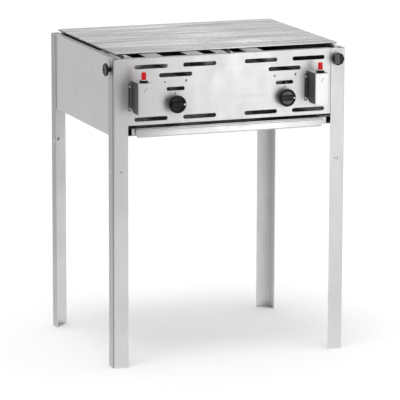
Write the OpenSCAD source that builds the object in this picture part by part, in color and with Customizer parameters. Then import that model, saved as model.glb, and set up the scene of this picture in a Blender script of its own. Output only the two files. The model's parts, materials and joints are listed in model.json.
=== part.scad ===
// Free-standing gas barbecue: a stainless sheet casing on four angle legs, two burners
// under radiant strips, a rod grate on top and a drip tray that slides out at the front.
// Millimetres, +Z up, front towards -Y. The origin is on the floor, under the middle of
// the whole outline.

/* [Overall] */
// Width over the outer faces of the legs
width = 650; // [640:1:680]
// Depth over the outer faces of the legs
depth = 520; // [510:1:540]
// Height of the legs, and of the casing's top edge
leg_h = 820; // [780:1:860]

/* [Legs] */
// Width of each flange of an angle leg
leg_w = 40; // [36:0.5:41]
// Thickness of the leg's sheet
leg_t = 2; // [1.5:0.1:3]
// Outer radius of the leg's bend
leg_bend = 3.2; // [3:0.1:5]
// Height of the spare screws, which take an undershelf
shelf_z = 523; // [200:1:580]
// Distance of the spare screws from the leg's corner
shelf_screw_in = 22; // [15:1:28]
// Height of the clamp screws below the leg's top
clamp_drop = 28; // [20:1:40]
// Distance of the clamp screws from the leg's corner
clamp_in = 25; // [18:1:28]

/* [Star knobs] */
// Width of a star knob's head over its corners
star_d = 34.5; // [30:0.5:38]
// How far a star knob stands out of its leg
star_out = 16; // [15:0.5:24]
// Thickness of a star knob's head at its rim
star_head = 7; // [6:0.5:9]
// Number of corners on a star knob's head
star_corners = 8; // [6:1:10]

/* [Casing] */
// Sheet thickness of the casing
sheet = 1.2; // [1:0.1:1.5]
// Height of the front panel
front_h = 175; // [170:1:180]
// Height of the side and back panels
side_h = 204; // [200:1:210]
// Depth of the folded rims along the top
rim = 18; // [14:1:22]

/* [Slots] */
// Length of a long slot
slot_l = 92; // [80:1:96]
// Height of a long slot
slot_w = 11; // [8:0.5:12]
// Length of the lighting slot above each knob
light_slot_l = 50; // [40:1:60]
// Height of the lighting slot
light_slot_w = 10; // [8:0.5:12]
// Distance of the inner long slots from the middle
slot_inner_x = 86; // [80:1:95]
// Distance of the outer long slots from the middle
slot_outer_x = 221; // [215:0.5:230]
// Distance of the slots above the knobs from the middle
slot_mid_x = 153; // [150:0.5:157]

/* [Grate] */
// Number of rods across the grate
rods = 24; // [20:1:24]
// Distance from rod to rod
rod_pitch = 20; // [18:0.5:20]
// Diameter of a rod
rod_d = 6; // [5:0.5:7]
// Length of a rod
rod_l = 626; // [600:1:630]
// Diameter of the three cross rods
cross_d = 8; // [7:0.5:10]

/* [Burners] */
// Distance of each burner's middle from the middle of the casing
burner_x = 148; // [146:1:150]
// Distance from burner tube to burner tube
tube_pitch = 88; // [84:1:90]
// Diameter of a burner tube
tube_d = 22; // [20:1:24]
// Width of a radiant strip
radiant_w = 46; // [40:1:50]
// Height of a radiant strip's ridge over its feet
radiant_h = 12; // [8:1:28]

/* [Gas controls] */
// Distance of each gas knob from the middle
knob_x = 154; // [153:1:157]
// Diameter of a gas knob
knob_d = 47; // [40:1:50]
// How far a gas knob can be pushed in
knob_push = 3.5; // [2:0.5:4]

/* [Igniters] */
// Place of the left igniter housing, from the middle
igniter_left_x = -256.5; // [-258:0.5:-254]
// Place of the right igniter housing, from the middle
igniter_right_x = 237; // [235:0.5:256]
// Width of an igniter housing
housing_w = 39.5; // [36:0.5:40]
// Height of an igniter housing
housing_h = 82; // [80:1:86]
// How far an igniter housing stands in front of the legs
housing_out = 55; // [50:1:60]
// Diameter of an igniter button
button_d = 12.5; // [11:0.5:13]
// Travel of an igniter button
button_travel = 7; // [4:0.5:8]

/* [Drip tray] */
// Width of the tray's pan
tray_w = 548; // [540:1:556]
// Height of the tray's front strip
tray_front_h = 23; // [20:1:25]

/* [Hidden] */

$fn = 64;
front_y = (housing_out - star_out - depth) / 2; // outer face of the front legs
touch = 0.2;                                    // gap between sheets that lie together
move_gap = 0.3;                                 // gap between a moving part and its rest
top = leg_h;

// Casing
case_x = width / 2 - leg_t - touch;             // outer face of the side panels
case_y = leg_t + touch;                         // outer face of the front panel
back_y = depth - case_y;                        // outer face of the back panel
inner_x = case_x - sheet;
wall_x = case_x - 0.6;                          // clear of the legs' inner bends
inner_y = case_y + sheet;
return_w = 10;                                  // upright return folds of the side panels
corner_gap = 15;                                // from the side panels to the rims of the walls
clamp_z = top - clamp_drop;
stud_d = 6;
stud_clear_d = 7;
shelf_screw_d = 5;
shelf_hole_d = 5.4;
long_slot_x = [-slot_outer_x, -slot_inner_x, slot_inner_x, slot_outer_x];

// Heights of the slots and controls, below the top edge
upper_slot_z = top - 22.5;
radiant_slot_z = top - 47;
light_slot_z = top - 84;
lower_slot_z = top - 160;
knob_z = top - 123;
housing_top = top - 56.5;

// Things that stand on the rails inside
radiant_z = top - 66;                           // feet of the radiant strips
burner_z = top - 94;                            // axis of the burner tubes
burner_seat_z = burner_z - tube_d / 2;
rail_x = case_x - 14;                           // half length of the inside rails
radiant_rail_d = 26;
burner_rail_d = 56;
burner_y0 = 30;
burner_y1 = depth - 30;
header_y = 150;
header_d = 40;
mixer_d = 24;
mixer_y = 74;

// Gas line
gas_y = 56;
gas_z = top - 150;
gas_d = 14;
inlet_seat_x = case_x - 11;                     // where the gas rail ends in its inlet
valve_d = 26;
valve_y0 = 12;
valve_y1 = 62;
plug_d = 18;
spindle_d = 6;
running = 0.05;                                 // radial clearance of a turning fit
knob_back_y = case_y - knob_push - 1;
knob_face_y = knob_back_y - 17;
grip_h = 4;

// Igniters
piezo_y = case_y - 43;
lead_z = top - 133;
nut_h = 7;
button_h = 27;
screw_upper_z = housing_top - 15.5;
screw_lower_z = housing_top - 73;
ear_w = 7;
electrode_x = 176;
thermo_x = 122;
sensor_y = 45;

// Drip tray
ledge_z = top - side_h + sheet + touch;
tray_z = ledge_z + sheet + move_gap;
tray_h = 17;
tray_y0 = 4;
tray_l = 500;
strip_w = tray_w - 20;
strip_z0 = top - side_h - 4;
rail_ledge_w = 72;
rail_lip_w = 66;

// ---------------------------------------------------------------- helpers

// Moves the drawing from the front legs' plane to the origin of the whole
module in_frame() {
    translate([0, front_y, 0]) children();
}

// Puts children at leg i, counted from the front left and turning with the legs
module at_leg(i) {
    corners = [[-width / 2, 0], [width / 2, 0], [width / 2, depth], [-width / 2, depth]];
    translate([corners[i].x, corners[i].y, 0]) rotate(90 * i) children();
}

// Stands a flat drawing upright, so that it grows from y towards the front
module upright(y, t) {
    translate([0, y + t, 0]) rotate([90, 0, 0]) linear_extrude(t) children();
}

// A rounded slot, drawn flat
module slot(l, w) {
    square([l - w, w], center = true);
    for (s = [-1, 1]) translate([s * (l - w) / 2, 0]) circle(d = w);
}

// A cylinder along +Y from y0 to y1
module along_y(d, y0, y1) {
    translate([0, y0, 0]) rotate([-90, 0, 0]) cylinder(d = d, h = y1 - y0);
}

// A cylinder along +X from x0 to x1
module along_x(d, x0, x1) {
    translate([x0, 0, 0]) rotate([0, 90, 0]) cylinder(d = d, h = x1 - x0);
}

// Screw along Z with a domed head above zero
module dome_screw(d, l, head_d, head_h) {
    r = (head_h * head_h + head_d * head_d / 4) / (2 * head_h);
    translate([0, 0, -l]) cylinder(d = d, h = l);
    intersection() {
        translate([0, 0, head_h - r]) sphere(r);
        cylinder(d = head_d, h = head_h);
    }
}

// Hexagon nut along Z, resting on zero
module hex_nut(flats, h, bore) {
    difference() {
        cylinder(d = flats / cos(30), h = h, $fn = 6);
        translate([0, 0, -1]) cylinder(d = bore, h = h + 2);
    }
}

// Places children with their +Z pointing out of the leg's clamped flange
module at_clamp(i) {
    at_leg(i) translate([0, clamp_in, clamp_z]) rotate([0, -90, 0]) children();
}

// Places children with their +Z pointing out of each flange, at the spare screws
module at_shelf_screws() {
    for (i = [0:3]) at_leg(i) {
        translate([0, shelf_screw_in, shelf_z]) rotate([0, -90, 0]) children();
        translate([shelf_screw_in, 0, shelf_z]) rotate([90, 0, 0]) children();
    }
}

// Draws children, made for the right side, on the left (s = -1) or the right (s = 1)
module half(s) {
    mirror([s < 0 ? 1 : 0, 0, 0]) children();
}

function unit(v) = v / norm(v);

// A smooth curve through the points, with n steps between each two
function smooth(p, n) = [
    for (i = [0:len(p) - 2]) for (k = [0:n - 1])
        let (t = k / n, a = p[max(i - 1, 0)], b = p[i], c = p[i + 1], d = p[min(i + 2, len(p) - 1)])
        0.5 * (2 * b + (c - a) * t + (2 * a - 5 * b + 4 * c - d) * t * t
            + (3 * b - a - 3 * c + d) * t * t * t),
    p[len(p) - 1]];

// A round tube that follows the points
module swept(p, d, sides = 8) {
    n = len(p);
    dir = [for (i = [0:n - 1]) unit(p[min(i + 1, n - 1)] - p[max(i - 1, 0)])];
    up = [for (i = 0, u = [0, 1, 0]; i < n; i = i + 1,
        u = i < n ? unit(u - (u * dir[i]) * dir[i]) : u) u];
    rings = [for (i = [0:n - 1]) let (u = unit(up[i] - (up[i] * dir[i]) * dir[i]))
        for (k = [0:sides - 1]) let (a = 360 * k / sides)
            p[i] + d / 2 * (cos(a) * u + sin(a) * cross(dir[i], u))];
    walls = [for (i = [0:n - 2]) for (k = [0:sides - 1]) let (m = (k + 1) % sides)
        [i * sides + k, (i + 1) * sides + k, (i + 1) * sides + m, i * sides + m]];
    ends = [[for (k = [0:sides - 1]) k], [for (k = [sides - 1:-1:0]) (n - 1) * sides + k]];
    polyhedron(rings, concat(walls, ends), convexity = 6);
}

// ---------------------------------------------------------------- legs

// Angle section with its outer corner at zero and a rounded bend
module leg_section() {
    translate([leg_bend, 0]) square([leg_w - leg_bend, leg_t]);
    translate([0, leg_bend]) square([leg_t, leg_w - leg_bend]);
    intersection() {
        translate([leg_bend, leg_bend]) difference() {
            circle(r = leg_bend);
            circle(r = leg_bend - leg_t);
        }
        square(leg_bend);
    }
}

module leg(i) {
    color("gainsboro") difference() {
        at_leg(i) linear_extrude(leg_h) leg_section();
        at_clamp(i) translate([0, 0, -leg_t - 1]) cylinder(d = stud_clear_d, h = leg_t + 2);
        at_shelf_screws() translate([0, 0, -leg_t - 1]) cylinder(d = shelf_hole_d, h = leg_t + 2);
    }
}

// Small triangles that close the legs' lower ends
module foot_plates() {
    plate_t = 2;
    color("gainsboro") for (i = [0:3]) at_leg(i) linear_extrude(plate_t)
        polygon([[leg_bend, leg_t], [leg_w - 1, leg_t], [leg_t, leg_w - 1], [leg_t, leg_bend]]);
}

module shelf_screws() {
    color("silver") at_shelf_screws() dome_screw(shelf_screw_d, 12, 10, 3);
}

module shelf_screw_nuts() {
    color("silver") at_shelf_screws()
        translate([0, 0, -leg_t - 4.1]) hex_nut(8, 4, shelf_screw_d + 0.1);
}

// Straight-edged head that tapers back to a round neck, with a blind socket for its stud
module star_knob(i) {
    neck_d = 12;
    foot_d = 15;
    corner_r = 2;
    taper_l = 3.5;
    head_z = star_out - star_head;
    color("black") at_clamp(i) difference() {
        union() {
            translate([0, 0, move_gap]) cylinder(d = foot_d, h = 1.5);
            translate([0, 0, move_gap]) cylinder(d = neck_d, h = head_z);
            translate([0, 0, head_z - taper_l])
                cylinder(d1 = neck_d, d2 = star_d - 6, h = taper_l + 0.5);
            translate([0, 0, head_z]) linear_extrude(star_head) offset(r = corner_r)
                rotate(180 / star_corners) circle(d = star_d - 2 * corner_r, $fn = star_corners);
        }
        translate([0, 0, -1]) cylinder(d = stud_d + running, h = star_out - 4);
    }
}

module clamp_stud(i) {
    stud_l = 14;
    color("silver") at_clamp(i) translate([0, 0, -stud_l])
        cylinder(d = stud_d, h = stud_l + star_out - 5);
}

// Weld nuts on the inside of the casing
module clamp_nuts() {
    nut_l = 5;
    color("silver") for (i = [0:3]) at_clamp(i)
        translate([0, 0, -(leg_t + 2 * touch + sheet + nut_l)])
            hex_nut(10, nut_l, stud_d + 2 * running);
}

// ---------------------------------------------------------------- casing

module long_slots(z) {
    for (x = long_slot_x) translate([x, z]) slot(slot_l, slot_w);
}

// Sheet with folded rims along its top and bottom edges
module wall_sheet(y, bottom, inward) {
    upright(y, sheet) difference() {
        translate([-wall_x, bottom]) square([2 * wall_x, top - bottom]);
        children();
    }
    rim_y = inward > 0 ? y : y + sheet - rim;
    rim_x = inner_x - corner_gap;
    for (z = [bottom, top - sheet])
        translate([-rim_x, rim_y, z]) cube([2 * rim_x, rim, sheet]);
}

module front_panel() {
    color("gainsboro") wall_sheet(case_y, top - front_h, 1) {
        long_slots(upper_slot_z);
        long_slots(lower_slot_z);
        for (s = [-1, 1]) {
            translate([s * slot_mid_x, radiant_slot_z]) slot(slot_l, slot_w);
            translate([s * slot_mid_x, light_slot_z]) slot(light_slot_l, light_slot_w);
            translate([s * knob_x, knob_z]) circle(d = 10);
        }
        for (x = [igniter_left_x, igniter_right_x]) {
            translate([x, lead_z]) circle(d = 9);
            for (s = [-1, 1]) for (z = [screw_lower_z, screw_upper_z])
                translate([x + s * (housing_w + ear_w) / 2, z]) circle(d = 3.2);
        }
        translate([width / 2 - clamp_in, clamp_z]) circle(d = stud_clear_d);
    }
}

module back_panel() {
    color("gainsboro") wall_sheet(back_y - sheet, top - side_h, -1) {
        long_slots(lower_slot_z);
        translate([clamp_in - width / 2, clamp_z]) circle(d = stud_clear_d);
    }
}

// Side sheet with upright return folds and a folded rim along its top
module side_panel(s) {
    clamp_y = s < 0 ? clamp_in : depth - clamp_in;
    side_y0 = inner_y + touch;
    side_y1 = depth - side_y0;
    x0 = s < 0 ? -case_x : inner_x;
    rim_x = s < 0 ? -case_x : case_x - rim;
    return_x = s < 0 ? -case_x : case_x - return_w;
    fold_z = top - front_h + sheet + touch;
    color("gainsboro") difference() {
        union() {
            translate([x0, side_y0, top - side_h])
                cube([sheet, side_y1 - side_y0, side_h]);
            translate([rim_x, case_y + rim + touch, top - sheet])
                cube([rim, depth - 2 * (case_y + rim + touch), sheet]);
            for (y = [side_y0, side_y1 - sheet])
                translate([return_x, y, fold_z])
                    cube([return_w, sheet, top - sheet - touch - fold_z]);
        }
        translate([0, clamp_y, clamp_z]) along_x(stud_clear_d, x0 - 1, x0 + sheet + 1);
        if (s > 0) translate([0, gas_y, gas_z]) along_x(18.4, x0 - 1, x0 + sheet + 1);
    }
}

// ---------------------------------------------------------------- drip tray

// Channel on the side panel that carries the tray and keeps it level
module tray_rail(s) {
    rail_y0 = 6;
    rail_l = depth - 2 * rail_y0;
    web_x = inner_x - touch;
    channel_h = tray_h + 2 * sheet + 2 * move_gap + 1;
    color("darkgray") half(s) {
        translate([web_x - rail_ledge_w, rail_y0, ledge_z]) cube([rail_ledge_w, rail_l, sheet]);
        translate([web_x - sheet, rail_y0, ledge_z]) cube([sheet, rail_l, channel_h]);
        translate([web_x - rail_lip_w, rail_y0, ledge_z + channel_h - sheet])
            cube([rail_lip_w, rail_l, sheet]);
    }
}

// Shallow pan with an open top
module drip_tray() {
    pan_t = 1;
    color("gainsboro") difference() {
        translate([-tray_w / 2, tray_y0, tray_z]) cube([tray_w, tray_l, tray_h]);
        translate([pan_t - tray_w / 2, tray_y0 + pan_t, tray_z + pan_t])
            cube([tray_w - 2 * pan_t, tray_l - 2 * pan_t, tray_h]);
    }
}

// Folded strip along the tray's front, which is also its grip
module drip_tray_front() {
    lip = 5;
    face_y = tray_y0 - 2.4;
    z1 = strip_z0 + tray_front_h;
    color("silver") translate([-strip_w / 2, 0, 0]) rotate([90, 0, 90]) linear_extrude(strip_w)
        polygon([[tray_y0, z1], [face_y - lip, z1], [face_y - lip, z1 - 2],
            [face_y - 1, z1 - 2.6], [face_y - 1, z1 - 10], [face_y - 2.4, strip_z0 + 2],
            [face_y - 2.4, strip_z0], [face_y + 1, strip_z0], [tray_y0, z1 - 14]]);
}

// ---------------------------------------------------------------- grate and radiants

// Rods along X, welded on three cross rods that rest on the casing
module cooking_grate() {
    weld = 0.8;
    cross_z = top + move_gap + cross_d / 2;
    rod_z = cross_z + (cross_d + rod_d) / 2 - weld;
    cross_l = 500;
    cross_x = 295;
    first_y = depth / 2 - rod_pitch * (rods - 1) / 2;
    color("lightgray") union() {
        for (k = [0:rods - 1]) translate([0, first_y + k * rod_pitch, rod_z])
            along_x(rod_d, -rod_l / 2, rod_l / 2);
        for (x = [-cross_x, 0, cross_x]) translate([x, 0, cross_z])
            along_y(cross_d, (depth - cross_l) / 2, (depth + cross_l) / 2);
    }
}

// Three ridged strips over each burner
module radiants(s) {
    t = 1.2;
    end_gap = 8;
    half_w = radiant_w / 2;
    slant = t * norm([half_w, radiant_h]) / half_w;
    color("lightgray") half(s) for (k = [-1:1])
        translate([burner_x + k * tube_pitch, depth - end_gap, radiant_z]) rotate([90, 0, 0])
            linear_extrude(depth - 2 * end_gap)
                polygon([[-half_w, 0], [0, radiant_h], [half_w, 0],
                    [half_w - slant * half_w / radiant_h, 0], [0, radiant_h - slant],
                    [slant * half_w / radiant_h - half_w, 0]]);
}

// Angle along the front wall: a shelf of the given depth and an upright leg
module wall_angle(z, shelf_d, leg_z, leg_up) {
    translate([-rail_x, inner_y + touch, z - sheet]) cube([2 * rail_x, shelf_d, sheet]);
    translate([-rail_x, inner_y + touch, leg_z]) cube([2 * rail_x, sheet, leg_up]);
}

module radiant_angle() {
    wall_angle(radiant_z, radiant_rail_d, radiant_z - sheet, 12);
}

module radiant_rail_front() {
    color("darkgray") radiant_angle();
}

module radiant_rail_rear() {
    color("darkgray") translate([0, depth, 0]) mirror([0, 1, 0]) radiant_angle();
}

// ---------------------------------------------------------------- burners and gas line

// Three closed tubes on a header box, fed by a mixing tube with an open mouth
module burner(s) {
    wall = 1;
    header_w = 2 * tube_pitch + tube_d + 8;
    header_z0 = knob_z - 14;
    header_h = burner_z + 8 - header_z0;
    mouth_l = 12;
    color("silver") half(s) difference() {
        union() {
            for (k = [-1:1]) translate([burner_x + k * tube_pitch, 0, burner_z])
                along_y(tube_d, burner_y0, burner_y1);
            translate([burner_x - header_w / 2, header_y, header_z0])
                cube([header_w, header_d, header_h]);
            translate([knob_x, 0, knob_z]) along_y(mixer_d, mixer_y, header_y + 2);
            translate([knob_x, mixer_y + mouth_l, knob_z]) rotate([90, 0, 0])
                cylinder(d1 = mixer_d, d2 = mixer_d + 6, h = mouth_l);
        }
        for (k = [-1:1]) translate([burner_x + k * tube_pitch, 0, burner_z])
            along_y(tube_d - 2 * wall, burner_y0 + wall, burner_y1 - wall);
        translate([burner_x - header_w / 2 + wall, header_y + wall, header_z0 + wall])
            cube([header_w - 2 * wall, header_d - 2 * wall, header_h - 2 * wall]);
        translate([knob_x, 0, knob_z])
            along_y(mixer_d - 2 * wall, mixer_y - 1, header_y + wall + 1);
        translate([knob_x, mixer_y + mouth_l, knob_z]) rotate([90, 0, 0])
            cylinder(d1 = mixer_d - 2 * wall, d2 = mixer_d + 4, h = mouth_l + 0.01);
    }
}

module burner_angle() {
    wall_angle(burner_seat_z, burner_rail_d, burner_seat_z - sheet, 13);
}

module burner_rail_front() {
    color("darkgray") difference() {
        burner_angle();
        for (s = [-1, 1]) for (hole = [[electrode_x, 7.4], [thermo_x, 6.4]])
            translate([s * hole[0], sensor_y, burner_seat_z - sheet - 1])
                cylinder(d = hole[1], h = sheet + 2);
    }
}

module burner_rail_rear() {
    color("darkgray") translate([0, depth, 0]) mirror([0, 1, 0]) burner_angle();
}

// Gas pipe behind the valves, closed on the left, with a nipple up into each valve
module gas_rail() {
    rail_x0 = -182;
    rail_x1 = inlet_seat_x - touch;
    bore = 11;
    color("goldenrod") translate([0, gas_y, gas_z]) difference() {
        union() {
            along_x(gas_d, rail_x0, rail_x1);
            for (s = [-1, 1]) translate([s * knob_x, 0, 0]) cylinder(d = 10, h = gas_d);
        }
        along_x(bore, rail_x0 + 3, rail_x1 + 1);
        for (s = [-1, 1]) translate([s * knob_x, 0, 0]) cylinder(d = 6, h = gas_d + 1);
    }
}

// Bulkhead fitting in the right side panel with an outer thread for the hose
module gas_inlet() {
    hex_flats = 21;
    hex_t = 6;
    thread_d = 13.2;
    thread_l = 12;
    color("goldenrod") translate([case_x, gas_y, gas_z]) rotate([0, 90, 0]) difference() {
        union() {
            translate([0, 0, touch]) cylinder(d = hex_flats / cos(30), h = hex_t - touch, $fn = 6);
            translate([0, 0, touch]) cylinder(d = thread_d, h = hex_t + thread_l - touch);
            translate([0, 0, -22]) cylinder(d = 18, h = 23);
        }
        translate([0, 0, -12]) cylinder(d = 8, h = 60);
        translate([0, 0, -23]) cylinder(d = gas_d + 2 * running, h = 23 + inlet_seat_x - case_x);
    }
}

module inlet_locknut() {
    locknut_t = 4.5;
    color("goldenrod") translate([inner_x - touch - locknut_t, gas_y, gas_z])
        rotate([0, 90, 0]) hex_nut(24, locknut_t, 18 + 2 * running);
}

// Valve body: barrel, neck, foot on the gas rail and a port for the thermocouple
module gas_valve(s) {
    color("goldenrod") half(s) translate([knob_x, 0, knob_z]) difference() {
        union() {
            along_y(valve_d, valve_y0, valve_y1);
            along_y(18, inner_y + touch, valve_y0 + 1);
            translate([0, gas_y, gas_z - knob_z + gas_d / 2 + 0.6]) cylinder(d = 18, h = 12);
            translate([0, sensor_y + 6, 0]) along_x(8, -20, 0);
        }
        along_y(spindle_d + 1, 0, valve_y0 + 3);
        along_y(plug_d + 2 * running, valve_y0 + 2, valve_y1 - 12);
        along_y(6, valve_y1 - 13, valve_y1 + 1);
        translate([0, gas_y, gas_z - knob_z]) cylinder(d = 10 + 2 * running, h = gas_d + 2);
    }
}

// Turning plug inside the valve, which lets its spindle slide
module valve_plug(s) {
    color("peru") half(s) translate([knob_x, 0, knob_z]) difference() {
        along_y(plug_d, valve_y0 + 3, valve_y1 - 13);
        along_y(spindle_d + 2 * running, valve_y0, valve_y1 - 20);
    }
}

module injectors() {
    color("goldenrod") for (s = [-1, 1]) translate([s * knob_x, 0, knob_z]) difference() {
        union() {
            along_y(6, valve_y1 - 8, valve_y1);
            translate([0, valve_y1, 0]) rotate([-90, 0, 0])
                cylinder(d = 10 / cos(30), h = 5, $fn = 6);
            along_y(7, valve_y1 + 5, valve_y1 + 8);
        }
        along_y(1.8, valve_y1 - 9, valve_y1 + 9);
    }
}

module spindle(s) {
    color("silver") half(s) translate([knob_x, 0, knob_z])
        along_y(spindle_d, knob_face_y + 6, valve_y1 - 20 - knob_push - 1);
}

// Round knob: neck, dial and a grip bar across its face
module control_knob(s) {
    neck_d = 36;
    dial_t = 10;
    grip_w = 13;
    color("black") half(s) translate([knob_x, 0, knob_z]) difference() {
        union() {
            along_y(neck_d, knob_face_y + dial_t - 1, knob_back_y);
            along_y(knob_d, knob_face_y, knob_face_y + dial_t);
            intersection() {
                translate([-knob_d / 2, knob_face_y - grip_h, -grip_w / 2])
                    cube([knob_d, grip_h + 1, grip_w]);
                along_y(knob_d - 1, knob_face_y - grip_h, knob_face_y + 1);
            }
        }
        along_y(spindle_d + running, knob_face_y + 6, knob_back_y + 1);
    }
}

// ---------------------------------------------------------------- igniters

// Folded housing on the front panel: face, two cheeks with ears, and a top
module igniter_housing(x) {
    back = case_y - touch;
    deep = housing_out + back;
    bottom = housing_top - housing_h;
    ear_z0 = screw_lower_z - 7;
    ear_z1 = screw_upper_z + 7;
    rise = ear_z0 - bottom;
    color("gainsboro") translate([x, 0, 0]) difference() {
        union() {
            translate([-housing_w / 2, -housing_out, bottom])
                cube([housing_w, sheet, housing_h]);
            translate([-housing_w / 2, -housing_out, housing_top - sheet])
                cube([housing_w, deep, sheet]);
            for (side = [-1, 1]) {
                translate([side * (housing_w - sheet) / 2 - sheet / 2, 0, 0])
                    rotate([90, 0, 90]) linear_extrude(sheet) difference() {
                        translate([-housing_out, bottom]) square([deep, housing_h]);
                        translate([back - 24, bottom - 1]) square([25, 25]);
                        translate([-housing_out, bottom - 1]) square([deep, 1.01]);
                    }
                translate([side * (housing_w - sheet) / 2 - sheet / 2, 0, 0])
                    rotate([90, 0, 90]) linear_extrude(sheet) intersection() {
                        translate([back - 24, bottom + 24]) circle(r = 24);
                        translate([back - 24, bottom]) square(24);
                    }
                upright(back - sheet, sheet) difference() {
                    translate([side * (housing_w + ear_w) / 2, (ear_z0 + ear_z1) / 2])
                        square([ear_w, ear_z1 - ear_z0], center = true);
                    for (z = [screw_lower_z, screw_upper_z])
                        translate([side * (housing_w + ear_w) / 2, z]) circle(d = 3.2);
                }
            }
        }
        translate([0, piezo_y, housing_top - sheet - 1]) cylinder(d = 16.4, h = sheet + 2);
    }
}

// Pulse igniter: body under the housing's top, threaded collar and a bore for its button
module piezo_igniter(x) {
    body_l = 62;
    color("ivory") translate([x, piezo_y, 0]) difference() {
        union() {
            translate([0, 0, housing_top - sheet - body_l]) cylinder(d = 19, h = body_l);
            translate([0, 0, housing_top - sheet - 1]) cylinder(d = 16, h = nut_h + sheet + 2);
            translate([0, 0, housing_top - sheet - body_l - 6]) cylinder(d = 7, h = 7);
        }
        translate([0, 0, housing_top - 20])
            cylinder(d = button_d + 2 * running, h = 40);
    }
}

// Flanged nuts that hold the igniters in the housings' tops
module igniter_nuts() {
    flange_d = 26;
    flange_t = 1.5;
    bore = 16.1;
    color("black") for (x = [igniter_left_x, igniter_right_x])
        translate([x, piezo_y, housing_top + 0.1]) {
            hex_nut(19, nut_h - 0.5, bore);
            difference() {
                cylinder(d = flange_d, h = flange_t);
                translate([0, 0, -1]) cylinder(d = bore, h = flange_t + 2);
            }
        }
}

module igniter_button(x) {
    inside = 20 - button_travel - 1;
    color("red") translate([x, piezo_y, housing_top - inside]) {
        cylinder(d = button_d, h = inside + button_h - 1);
        translate([0, 0, inside + button_h - 1]) cylinder(d1 = button_d, d2 = button_d - 2, h = 1);
    }
}

module housing_screws() {
    color("silver") for (x = [igniter_left_x, igniter_right_x]) for (side = [-1, 1])
        for (z = [screw_lower_z, screw_upper_z])
            translate([x + side * (housing_w + ear_w) / 2, case_y - touch - sheet, z])
                rotate([90, 0, 0]) dome_screw(3, 8, 5.6, 1.8);
}

// Ceramic rods that stand in the burner rail, each with a bent spark wire
module spark_electrodes() {
    wire = [[0, 0, 14], [0, 0, 17], [3.5, 0, 19.5], [13, 0, 17.5]];
    color("ivory") for (s = [-1, 1]) half(s)
        translate([electrode_x, sensor_y, burner_seat_z]) {
            translate([0, 0, -16]) cylinder(d = 7, h = 30);
            translate([0, 0, 0.1]) cylinder(d = 11, h = 2);
            mirror([1, 0, 0]) swept(smooth(wire, 3), 1.6);
        }
}

// High-voltage leads from the igniters to the electrodes, through the front panel
module ignition_leads() {
    color("firebrick") for (ends = [[igniter_left_x, -electrode_x], [igniter_right_x, electrode_x]]) {
        x0 = ends[0];
        x1 = ends[1];
        z0 = housing_top - sheet - 68;
        z1 = burner_seat_z - 16;
        swept(smooth([[x0, piezo_y, z0], [x0, piezo_y, z0 - 3], [x0, piezo_y, z0 - 6],
            [x0, piezo_y + 12, lead_z - 1],
            [x0, case_y - 12, lead_z], [x0, case_y + 8, lead_z],
            [(x0 + x1) / 2, sensor_y - 18, lead_z - 2], [x1, sensor_y - 3, lead_z],
            [x1, sensor_y, z1 - 5], [x1, sensor_y, z1]], 4), 3.4);
    }
}

// Flame sensors: a probe in the burner rail and a thin copper line to the valve
module thermocouples() {
    color("peru") for (s = [-1, 1]) half(s) translate([thermo_x, sensor_y, burner_seat_z]) {
        translate([0, 0, -22]) cylinder(d = 6, h = 36);
        translate([0, 0, 13]) cylinder(d = 4, h = 12);
        valve_port = [knob_x - thermo_x - 20, 6, knob_z - burner_seat_z];
        swept(smooth([[0, 0, -21], [0, 0, -28], [-6, 3, -36], [-14, 6, -30],
            valve_port - [14, 0, 0], valve_port], 4), 2.4);
    }
}

// ---------------------------------------------------------------- nodes

in_frame() leg(0);  // leg_front_left
in_frame() leg(1);  // leg_front_right
in_frame() leg(2);  // leg_rear_right
in_frame() leg(3);  // leg_rear_left
in_frame() foot_plates();
in_frame() shelf_screws();
in_frame() shelf_screw_nuts();
in_frame() star_knob(0);  // star_knob_front_left
in_frame() star_knob(1);  // star_knob_front_right
in_frame() star_knob(2);  // star_knob_rear_right
in_frame() star_knob(3);  // star_knob_rear_left
in_frame() clamp_stud(0);  // clamp_stud_front_left
in_frame() clamp_stud(1);  // clamp_stud_front_right
in_frame() clamp_stud(2);  // clamp_stud_rear_right
in_frame() clamp_stud(3);  // clamp_stud_rear_left
in_frame() clamp_nuts();
in_frame() front_panel();
in_frame() back_panel();
in_frame() side_panel(-1);  // side_panel_left
in_frame() side_panel(1);  // side_panel_right
in_frame() tray_rail(-1);  // tray_rail_left
in_frame() tray_rail(1);  // tray_rail_right
in_frame() drip_tray();
in_frame() drip_tray_front();
in_frame() cooking_grate();
in_frame() radiants(-1);  // radiants_left
in_frame() radiants(1);  // radiants_right
in_frame() radiant_rail_front();
in_frame() radiant_rail_rear();
in_frame() burner(-1);  // burner_left
in_frame() burner(1);  // burner_right
in_frame() burner_rail_front();
in_frame() burner_rail_rear();
in_frame() gas_rail();
in_frame() gas_inlet();
in_frame() inlet_locknut();
in_frame() gas_valve(-1);  // gas_valve_left
in_frame() gas_valve(1);  // gas_valve_right
in_frame() valve_plug(-1);  // valve_plug_left
in_frame() valve_plug(1);  // valve_plug_right
in_frame() injectors();
in_frame() spindle(-1);  // spindle_left
in_frame() spindle(1);  // spindle_right
in_frame() control_knob(-1);  // control_knob_left
in_frame() control_knob(1);  // control_knob_right
in_frame() igniter_housing(igniter_left_x);  // igniter_housing_left
in_frame() igniter_housing(igniter_right_x);  // igniter_housing_right
in_frame() piezo_igniter(igniter_left_x);  // piezo_igniter_left
in_frame() piezo_igniter(igniter_right_x);  // piezo_igniter_right
in_frame() igniter_nuts();
in_frame() igniter_button(igniter_left_x);  // igniter_button_left
in_frame() igniter_button(igniter_right_x);  // igniter_button_right
in_frame() housing_screws();
in_frame() spark_electrodes();
in_frame() ignition_leads();
in_frame() thermocouples();
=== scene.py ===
import json
import math
import random

import bmesh
import bpy
from mathutils import Matrix, Vector


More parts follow.
